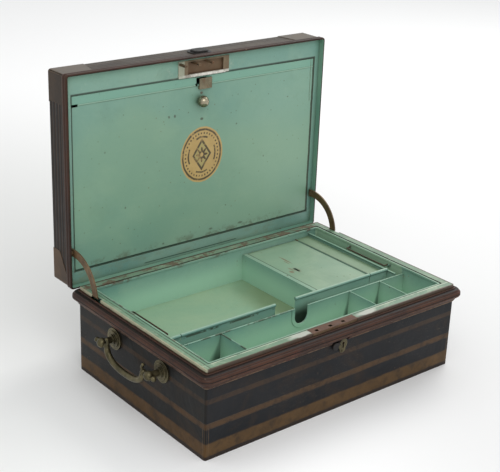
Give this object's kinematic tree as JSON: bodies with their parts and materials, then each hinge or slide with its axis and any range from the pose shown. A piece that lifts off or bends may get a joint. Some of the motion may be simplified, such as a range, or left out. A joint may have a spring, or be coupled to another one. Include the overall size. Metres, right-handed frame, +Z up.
{
  "type": "strongbox",
  "caption": "Antique sheet-metal strongbox, hinged lid with document pocket, lift-out partitioned tray, drop handles at the ends.",
  "frame": {"origin": "centre of the case's flat bottom", "axes": "+Z up, front with the keyhole towards -Y, hinges towards +Y, left end towards -X; stored with the lid open at 90 degrees"},
  "size_m": [0.4578, 0.3345, 0.3907],
  "materials": {
    "japanned_black": "satin",
    "lid_brown_black": "satin",
    "moulding_red_brown": "satin",
    "interior_green": "satin",
    "worn_steel": "matte",
    "old_brass": "satin",
    "stay_olive": "satin"
  },
  "bodies": {
    "case": {"body_shell": "japanned_black", "bottom_plate": "japanned_black", "rim_moulding": "moulding_red_brown", "rim_frame": "interior_green", "lock_plate": "worn_steel", "lock_case": "worn_steel", "lock_levers": "worn_steel", "lever_post": "worn_steel", "lever_spring": "worn_steel", "bolt_guide": "worn_steel", "escutcheon": "old_brass", "escutcheon_pin": "old_brass", "cover_pin": "japanned_black", "handle_posts_left": "old_brass", "handle_posts_right": "old_brass", "handle_nuts": "worn_steel", "ledge_front": "interior_green", "ledge_rear": "interior_green", "hinge_leaves_case": "worn_steel", "hinge_pins": "worn_steel", "case_rivets": "japanned_black"},
    "keyhole_cover": {"keyhole_cover": "japanned_black"},
    "lock_bolt": {"lock_bolt": "worn_steel"},
    "bail_left": {"bail_left": "old_brass"},
    "bail_right": {"bail_right": "old_brass"},
    "lid": {"lid_shell": "lid_brown_black", "lid_edge_bead": "moulding_red_brown", "lid_corner_plates": "lid_brown_black", "lid_inner_frame": "interior_green", "strike_plate": "worn_steel", "strike_staples": "worn_steel", "thumb_lug": "japanned_black", "stay_left": "stay_olive", "stay_right": "stay_olive", "stay_rivets": "worn_steel", "hinge_leaves_lid": "worn_steel", "lid_rivets": "japanned_black", "flap_pivot_pins": "worn_steel"},
    "document_flap": {"flap_panel": "interior_green", "latch_tab": "worn_steel", "knob_washer": "worn_steel"},
    "flap_knob": {"flap_knob": "old_brass"},
    "tray": {"tray_pan": "interior_green", "wall_a_left": "interior_green", "wall_a_right": "interior_green", "wall_b": "interior_green", "notch_lip": "interior_green", "front_dividers": "interior_green", "cash_wall": "interior_green", "side_strip": "interior_green", "ridge_wall": "interior_green", "cash_ledge": "interior_green", "cash_hinge_knuckles": "interior_green", "cash_hinge_pin": "worn_steel", "tray_handle_lugs": "worn_steel"},
    "tray_handle_left": {"tray_handle_left": "worn_steel"},
    "tray_handle_right": {"tray_handle_right": "worn_steel"},
    "cash_lid": {"cash_lid": "interior_green"},
    "cash_bolt": {"cash_bolt": "worn_steel"}
  },
  "joints": [
    {"name": "lid_hinge", "type": "hinge", "parent": "case", "child": "lid", "pos_m": [0, 0.1415, 0.1071], "axis": [-1, 0, 0], "range_deg": [-90, 0]},
    {"name": "flap_hinge", "type": "hinge", "parent": "lid", "child": "document_flap", "pos_m": [0, 0.1562, 0.1318], "axis": [1, 0, 0], "range_deg": [0, 88]},
    {"name": "knob_turn", "type": "hinge", "parent": "document_flap", "child": "flap_knob", "pos_m": [-0.003, 0.154, 0.3272], "axis": [0, 1, 0], "range_deg": [-90, 0]},
    {"name": "lock_bolt_slide", "type": "slide", "parent": "case", "child": "lock_bolt", "axis": [1, 0, 0], "range_m": [-0.006, 0]},
    {"name": "keyhole_cover_swing", "type": "hinge", "parent": "case", "child": "keyhole_cover", "pos_m": [-0.0016, -0.1375, 0.0936], "axis": [0, 1, 0], "range_deg": [-109, 0]},
    {"name": "bail_left_swing", "type": "hinge", "parent": "case", "child": "bail_left", "pos_m": [-0.2227, 0, 0.079], "axis": [0, 1, 0], "range_deg": [0, 90]},
    {"name": "bail_right_swing", "type": "hinge", "parent": "case", "child": "bail_right", "pos_m": [0.2227, 0, 0.079], "axis": [0, -1, 0], "range_deg": [0, 90]},
    {"name": "tray_lift", "type": "slide", "parent": "case", "child": "tray", "axis": [0, 0, 1], "range_m": [0, 0.16]},
    {"name": "tray_handle_left_fold", "type": "hinge", "parent": "tray", "child": "tray_handle_left", "pos_m": [-0.1876, 0.009, 0.1105], "axis": [0, -1, 0], "range_deg": [0, 75]},
    {"name": "tray_handle_right_fold", "type": "hinge", "parent": "tray", "child": "tray_handle_right", "pos_m": [0.1876, 0.009, 0.1105], "axis": [0, 1, 0], "range_deg": [0, 75]},
    {"name": "cash_lid_hinge", "type": "hinge", "parent": "tray", "child": "cash_lid", "pos_m": [0.149, 0.0414, 0.1055], "axis": [0, 1, 0], "range_deg": [0, 100]},
    {"name": "cash_bolt_slide", "type": "slide", "parent": "cash_lid", "child": "cash_bolt", "axis": [1, 0, 0], "range_m": [-0.0035, 0]}
  ]
}
